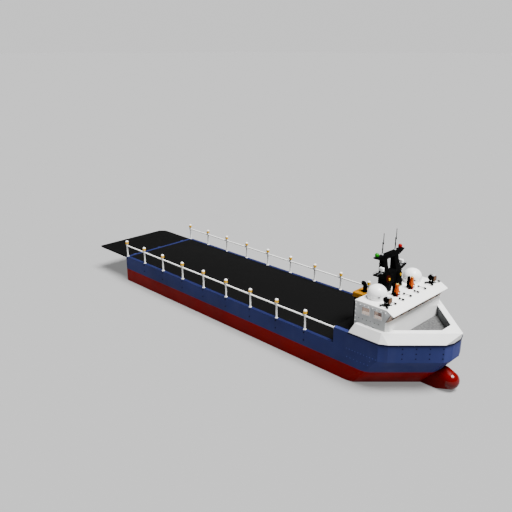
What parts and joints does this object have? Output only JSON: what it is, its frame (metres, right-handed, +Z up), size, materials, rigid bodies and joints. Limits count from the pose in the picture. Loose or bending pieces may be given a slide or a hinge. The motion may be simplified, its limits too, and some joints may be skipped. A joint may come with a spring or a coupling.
{
  "type": "car ferry",
  "caption": "Flat-bottomed car ferry with an open vehicle deck, stern ramp, bow wheelhouse with mast, and bulbous bow.",
  "frame": {"origin": "on the centreline, under the flat bottom, midway between the bulb's nose and the ramp's end", "axes": "+X forward to the bow, +Y to port, +Z up"},
  "size_m": [33.6, 7.25, 8.94],
  "materials": {
    "hull_paint": "semi-gloss blue hull paint",
    "bottom_paint": "red underwater paint, slightly glossy",
    "deck_coating": "matt black non-slip deck coating",
    "foredeck_coating": "grey non-slip deck coating",
    "white_paint": "white enamel",
    "black_paint": "black enamel",
    "orange_paint": "orange enamel",
    "ramp_paint": "matt black non-slip coating",
    "window_glass": "tinted safety glass",
    "console_plastic": "grey moulded console",
    "seat_leather": "dark red upholstery",
    "green_lens": "green lamp lens",
    "red_lens": "red lamp lens",
    "amber_lens": "amber lamp lens",
    "antenna_steel": "grey antenna with steel ferrules",
    "white_plastic": "white moulded cover",
    "bronze": "cast manganese bronze"
  },
  "bodies": {
    "vessel": {"amber_lamp_port": "amber_lens", "amber_lamp_starboard": "amber_lens", "brow": "white_paint", "bulbous_bow": "bottom_paint", "bulwark": "white_paint", "car_deck": "deck_coating", "casing_hood": "orange_paint", "engine_casing": "black_paint", "exhaust_pipe": "black_paint", "foredeck": "foredeck_coating", "front_glass": "window_glass", "helm_console": "console_plastic", "helm_seat": "seat_leather", "hull": "hull_paint", "landing_deck": "deck_coating", "mast": "black_paint", "radome_port": "white_plastic", "radome_starboard": "white_plastic", "rail_port": "white_paint", "rail_starboard": "white_paint", "sidelight_green": "green_lens", "sidelight_red": "red_lens", "wheelhouse_aft": "white_paint", "wheelhouse_front": "white_paint", "wheelhouse_roof": "white_paint", "wheelhouse_side_port": "white_paint", "wheelhouse_side_starboard": "white_paint", "whip_antenna_port": "antenna_steel", "whip_antenna_starboard": "antenna_steel", "window_frame": "black_paint", "window_port_1": "window_glass", "window_port_2": "window_glass", "window_starboard_1": "window_glass", "window_starboard_2": "window_glass"},
    "ramp": {"stern_ramp": "ramp_paint"},
    "door": {"aft_door": "white_paint"},
    "screw_starboard": {"propeller_starboard": "bronze"},
    "screw_port": {"propeller_port": "bronze"},
    "helm_starboard": {"rudder_starboard": "bottom_paint"},
    "helm_port": {"rudder_port": "bottom_paint"},
    "scanner_starboard": {"radar_scanner_starboard": "white_plastic"},
    "scanner_port": {"radar_scanner_port": "white_plastic"},
    "lamp_base_starboard": {"searchlight_yoke_starboard": "black_paint"},
    "lamp_base_port": {"searchlight_yoke_port": "black_paint"},
    "lamp_head_starboard": {"searchlight_head_starboard": "black_paint"},
    "lamp_head_port": {"searchlight_head_port": "black_paint"},
    "monitor_base_starboard": {"monitor_yoke_starboard": "black_paint"},
    "monitor_base_port": {"monitor_yoke_port": "black_paint"},
    "nozzle_starboard": {"monitor_barrel_starboard": "orange_paint"},
    "nozzle_port": {"monitor_barrel_port": "orange_paint"}
  },
  "joints": [
    {"name": "ramp_hinge", "type": "hinge", "parent": "vessel", "child": "ramp", "pos_m": [-12.72, 0, 2.09], "axis": [0, 1, 0], "range_deg": [-12, 85]},
    {"name": "door_hinge", "type": "hinge", "parent": "vessel", "child": "door", "pos_m": [11.1875, 1.852, 4.23], "axis": [0, 0, -1], "range_deg": [0, 100]},
    {"name": "shaft_turn_starboard", "type": "hinge", "parent": "vessel", "child": "screw_starboard", "pos_m": [-11, -1.75, 0.66], "axis": [1, 0, 0], "continuous": true},
    {"name": "rudder_turn_starboard", "type": "hinge", "parent": "vessel", "child": "helm_starboard", "pos_m": [-12.02, -1.75, 1.2], "axis": [0, 0, 1], "range_deg": [-35, 35]},
    {"name": "radar_turn_starboard", "type": "hinge", "parent": "vessel", "child": "scanner_starboard", "pos_m": [11.58, -1.08, 6.5], "axis": [0, 0, 1], "continuous": true},
    {"name": "searchlight_pan_starboard", "type": "hinge", "parent": "vessel", "child": "lamp_base_starboard", "pos_m": [13.02, -2.52, 5.27], "axis": [0, 0, 1], "range_deg": [-120, 120]},
    {"name": "searchlight_tilt_starboard", "type": "hinge", "parent": "lamp_base_starboard", "child": "lamp_head_starboard", "pos_m": [13.02, -2.52, 5.62], "axis": [0, 1, 0], "range_deg": [-45, 20]},
    {"name": "monitor_pan_starboard", "type": "hinge", "parent": "vessel", "child": "monitor_base_starboard", "pos_m": [12.6, -0.83, 5.27], "axis": [0, 0, 1], "range_deg": [-45, 45]},
    {"name": "monitor_tilt_starboard", "type": "hinge", "parent": "monitor_base_starboard", "child": "nozzle_starboard", "pos_m": [12.6, -0.83, 5.47], "axis": [0, 1, 0], "range_deg": [0, 60]},
    {"name": "shaft_turn_port", "type": "hinge", "parent": "vessel", "child": "screw_port", "pos_m": [-11, 1.75, 0.66], "axis": [1, 0, 0], "continuous": true},
    {"name": "rudder_turn_port", "type": "hinge", "parent": "vessel", "child": "helm_port", "pos_m": [-12.02, 1.75, 1.2], "axis": [0, 0, 1], "range_deg": [-35, 35]},
    {"name": "radar_turn_port", "type": "hinge", "parent": "vessel", "child": "scanner_port", "pos_m": [11.58, 1.08, 6.5], "axis": [0, 0, 1], "continuous": true},
    {"name": "searchlight_pan_port", "type": "hinge", "parent": "vessel", "child": "lamp_base_port", "pos_m": [13.02, 2.52, 5.27], "axis": [0, 0, 1], "range_deg": [-120, 120]},
    {"name": "searchlight_tilt_port", "type": "hinge", "parent": "lamp_base_port", "child": "lamp_head_port", "pos_m": [13.02, 2.52, 5.62], "axis": [0, 1, 0], "range_deg": [-45, 20]},
    {"name": "monitor_pan_port", "type": "hinge", "parent": "vessel", "child": "monitor_base_port", "pos_m": [12.6, 0.83, 5.27], "axis": [0, 0, 1], "range_deg": [-45, 45]},
    {"name": "monitor_tilt_port", "type": "hinge", "parent": "monitor_base_port", "child": "nozzle_port", "pos_m": [12.6, 0.83, 5.47], "axis": [0, 1, 0], "range_deg": [0, 60]}
  ],
  "couplings": [
    {"joint": "rudder_turn_port", "follows": "rudder_turn_starboard", "ratio": 1}
  ]
}
